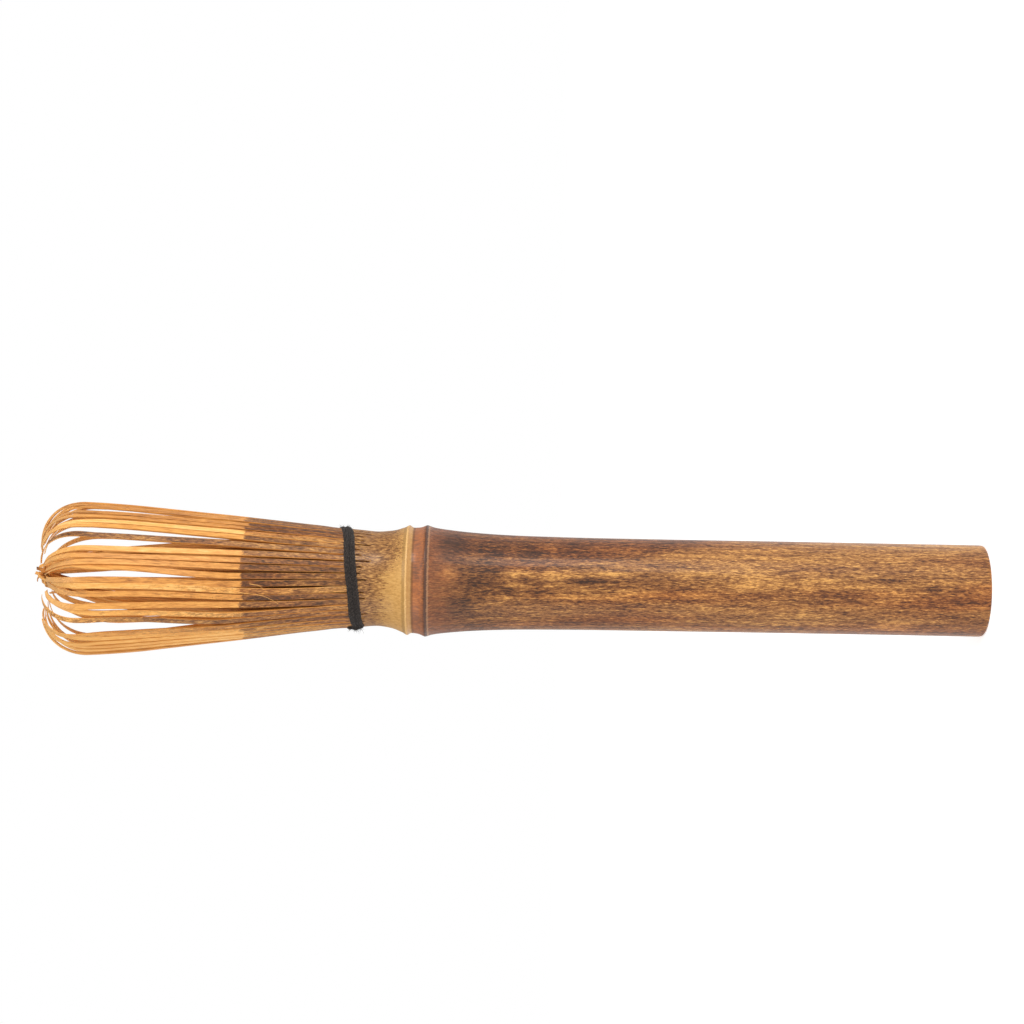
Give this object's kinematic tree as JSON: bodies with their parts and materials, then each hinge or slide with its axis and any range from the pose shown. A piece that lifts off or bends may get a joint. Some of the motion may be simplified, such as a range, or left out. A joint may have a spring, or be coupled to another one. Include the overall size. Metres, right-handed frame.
{
  "type": "bamboo tea whisk",
  "caption": "Upright bamboo whisk: hollow culm handle with a raised node, split neck bound with dark thread, and a flared cage of springy tines that curl in at the tips.",
  "frame": {"origin": "centre of the sawn butt face of the handle, which the whisk stands on", "axes": "+Z along the whisk from the butt to the tips of the tines; +X and +Y across it, both between two neighbouring splits of the cage"},
  "size_m": [0.034, 0.034, 0.2078],
  "materials": {
    "culm_skin": "smoked brown bamboo skin, mottled along the grain, satin",
    "tine_bamboo": "split and shaved bamboo, golden, satin",
    "thread": "near-black twisted cotton yarn, matt and slightly hairy"
  },
  "bodies": {
    "handle": {"culm_handle": "culm_skin", "binding_thread": "thread", "thread_knot": "thread"},
    "outer_tines_01": {"outer_tines_01": "tine_bamboo"},
    "outer_tines_02": {"outer_tines_02": "tine_bamboo"},
    "outer_tines_03": {"outer_tines_03": "tine_bamboo"},
    "outer_tines_04": {"outer_tines_04": "tine_bamboo"},
    "outer_tines_05": {"outer_tines_05": "tine_bamboo"},
    "outer_tines_06": {"outer_tines_06": "tine_bamboo"},
    "outer_tines_07": {"outer_tines_07": "tine_bamboo"},
    "outer_tines_08": {"outer_tines_08": "tine_bamboo"},
    "outer_tines_09": {"outer_tines_09": "tine_bamboo"},
    "outer_tines_10": {"outer_tines_10": "tine_bamboo"},
    "outer_tines_11": {"outer_tines_11": "tine_bamboo"},
    "outer_tines_12": {"outer_tines_12": "tine_bamboo"},
    "outer_tines_13": {"outer_tines_13": "tine_bamboo"},
    "outer_tines_14": {"outer_tines_14": "tine_bamboo"},
    "outer_tines_15": {"outer_tines_15": "tine_bamboo"},
    "outer_tines_16": {"outer_tines_16": "tine_bamboo"},
    "inner_tines_01": {"inner_tines_01": "tine_bamboo"},
    "inner_tines_02": {"inner_tines_02": "tine_bamboo"},
    "inner_tines_03": {"inner_tines_03": "tine_bamboo"},
    "inner_tines_04": {"inner_tines_04": "tine_bamboo"},
    "inner_tines_05": {"inner_tines_05": "tine_bamboo"},
    "inner_tines_06": {"inner_tines_06": "tine_bamboo"},
    "inner_tines_07": {"inner_tines_07": "tine_bamboo"},
    "inner_tines_08": {"inner_tines_08": "tine_bamboo"}
  },
  "joints": [
    {"name": "outer_flex_01", "type": "hinge", "parent": "handle", "child": "outer_tines_01", "pos_m": [0.0104, 0.00207, 0.1418], "axis": [-0.1951, 0.9808, 0], "range_deg": [-2.5, 12], "stiffness_Nm_per_rad": 0.012},
    {"name": "outer_flex_02", "type": "hinge", "parent": "handle", "child": "outer_tines_02", "pos_m": [0.00881, 0.00589, 0.1418], "axis": [-0.5556, 0.8315, 0], "range_deg": [-2.5, 12], "stiffness_Nm_per_rad": 0.012},
    {"name": "outer_flex_03", "type": "hinge", "parent": "handle", "child": "outer_tines_03", "pos_m": [0.00589, 0.00881, 0.1418], "axis": [-0.8315, 0.5556, 0], "range_deg": [-2.5, 12], "stiffness_Nm_per_rad": 0.012},
    {"name": "outer_flex_04", "type": "hinge", "parent": "handle", "child": "outer_tines_04", "pos_m": [0.00207, 0.0104, 0.1418], "axis": [-0.9808, 0.1951, 0], "range_deg": [-2.5, 12], "stiffness_Nm_per_rad": 0.012},
    {"name": "outer_flex_05", "type": "hinge", "parent": "handle", "child": "outer_tines_05", "pos_m": [-0.00207, 0.0104, 0.1418], "axis": [-0.9808, -0.1951, 0], "range_deg": [-2.5, 12], "stiffness_Nm_per_rad": 0.012},
    {"name": "outer_flex_06", "type": "hinge", "parent": "handle", "child": "outer_tines_06", "pos_m": [-0.00589, 0.00881, 0.1418], "axis": [-0.8315, -0.5556, 0], "range_deg": [-2.5, 12], "stiffness_Nm_per_rad": 0.012},
    {"name": "outer_flex_07", "type": "hinge", "parent": "handle", "child": "outer_tines_07", "pos_m": [-0.00881, 0.00589, 0.1418], "axis": [-0.5556, -0.8315, 0], "range_deg": [-2.5, 12], "stiffness_Nm_per_rad": 0.012},
    {"name": "outer_flex_08", "type": "hinge", "parent": "handle", "child": "outer_tines_08", "pos_m": [-0.0104, 0.00207, 0.1418], "axis": [-0.1951, -0.9808, 0], "range_deg": [-2.5, 12], "stiffness_Nm_per_rad": 0.012},
    {"name": "outer_flex_09", "type": "hinge", "parent": "handle", "child": "outer_tines_09", "pos_m": [-0.0104, -0.00207, 0.1418], "axis": [0.1951, -0.9808, 0], "range_deg": [-2.5, 12], "stiffness_Nm_per_rad": 0.012},
    {"name": "outer_flex_10", "type": "hinge", "parent": "handle", "child": "outer_tines_10", "pos_m": [-0.00881, -0.00589, 0.1418], "axis": [0.5556, -0.8315, 0], "range_deg": [-2.5, 12], "stiffness_Nm_per_rad": 0.012},
    {"name": "outer_flex_11", "type": "hinge", "parent": "handle", "child": "outer_tines_11", "pos_m": [-0.00589, -0.00881, 0.1418], "axis": [0.8315, -0.5556, 0], "range_deg": [-2.5, 12], "stiffness_Nm_per_rad": 0.012},
    {"name": "outer_flex_12", "type": "hinge", "parent": "handle", "child": "outer_tines_12", "pos_m": [-0.00207, -0.0104, 0.1418], "axis": [0.9808, -0.1951, 0], "range_deg": [-2.5, 12], "stiffness_Nm_per_rad": 0.012},
    {"name": "outer_flex_13", "type": "hinge", "parent": "handle", "child": "outer_tines_13", "pos_m": [0.00207, -0.0104, 0.1418], "axis": [0.9808, 0.1951, 0], "range_deg": [-2.5, 12], "stiffness_Nm_per_rad": 0.012},
    {"name": "outer_flex_14", "type": "hinge", "parent": "handle", "child": "outer_tines_14", "pos_m": [0.00589, -0.00881, 0.1418], "axis": [0.8315, 0.5556, 0], "range_deg": [-2.5, 12], "stiffness_Nm_per_rad": 0.012},
    {"name": "outer_flex_15", "type": "hinge", "parent": "handle", "child": "outer_tines_15", "pos_m": [0.00881, -0.00589, 0.1418], "axis": [0.5556, 0.8315, 0], "range_deg": [-2.5, 12], "stiffness_Nm_per_rad": 0.012},
    {"name": "outer_flex_16", "type": "hinge", "parent": "handle", "child": "outer_tines_16", "pos_m": [0.0104, -0.00207, 0.1418], "axis": [0.1951, 0.9808, 0], "range_deg": [-2.5, 12], "stiffness_Nm_per_rad": 0.012},
    {"name": "inner_flex_01", "type": "hinge", "parent": "handle", "child": "inner_tines_01", "pos_m": [0.00831, 0.00344, 0.1418], "axis": [-0.3827, 0.9239, 0], "range_deg": [-1, 4], "stiffness_Nm_per_rad": 0.012},
    {"name": "inner_flex_02", "type": "hinge", "parent": "handle", "child": "inner_tines_02", "pos_m": [0.00344, 0.00831, 0.1418], "axis": [-0.9239, 0.3827, 0], "range_deg": [-1, 4], "stiffness_Nm_per_rad": 0.012},
    {"name": "inner_flex_03", "type": "hinge", "parent": "handle", "child": "inner_tines_03", "pos_m": [-0.00344, 0.00831, 0.1418], "axis": [-0.9239, -0.3827, 0], "range_deg": [-1, 4], "stiffness_Nm_per_rad": 0.012},
    {"name": "inner_flex_04", "type": "hinge", "parent": "handle", "child": "inner_tines_04", "pos_m": [-0.00831, 0.00344, 0.1418], "axis": [-0.3827, -0.9239, 0], "range_deg": [-1, 4], "stiffness_Nm_per_rad": 0.012},
    {"name": "inner_flex_05", "type": "hinge", "parent": "handle", "child": "inner_tines_05", "pos_m": [-0.00831, -0.00344, 0.1418], "axis": [0.3827, -0.9239, 0], "range_deg": [-1, 4], "stiffness_Nm_per_rad": 0.012},
    {"name": "inner_flex_06", "type": "hinge", "parent": "handle", "child": "inner_tines_06", "pos_m": [-0.00344, -0.00831, 0.1418], "axis": [0.9239, -0.3827, 0], "range_deg": [-1, 4], "stiffness_Nm_per_rad": 0.012},
    {"name": "inner_flex_07", "type": "hinge", "parent": "handle", "child": "inner_tines_07", "pos_m": [0.00344, -0.00831, 0.1418], "axis": [0.9239, 0.3827, 0], "range_deg": [-1, 4], "stiffness_Nm_per_rad": 0.012},
    {"name": "inner_flex_08", "type": "hinge", "parent": "handle", "child": "inner_tines_08", "pos_m": [0.00831, -0.00344, 0.1418], "axis": [0.3827, 0.9239, 0], "range_deg": [-1, 4], "stiffness_Nm_per_rad": 0.012}
  ]
}
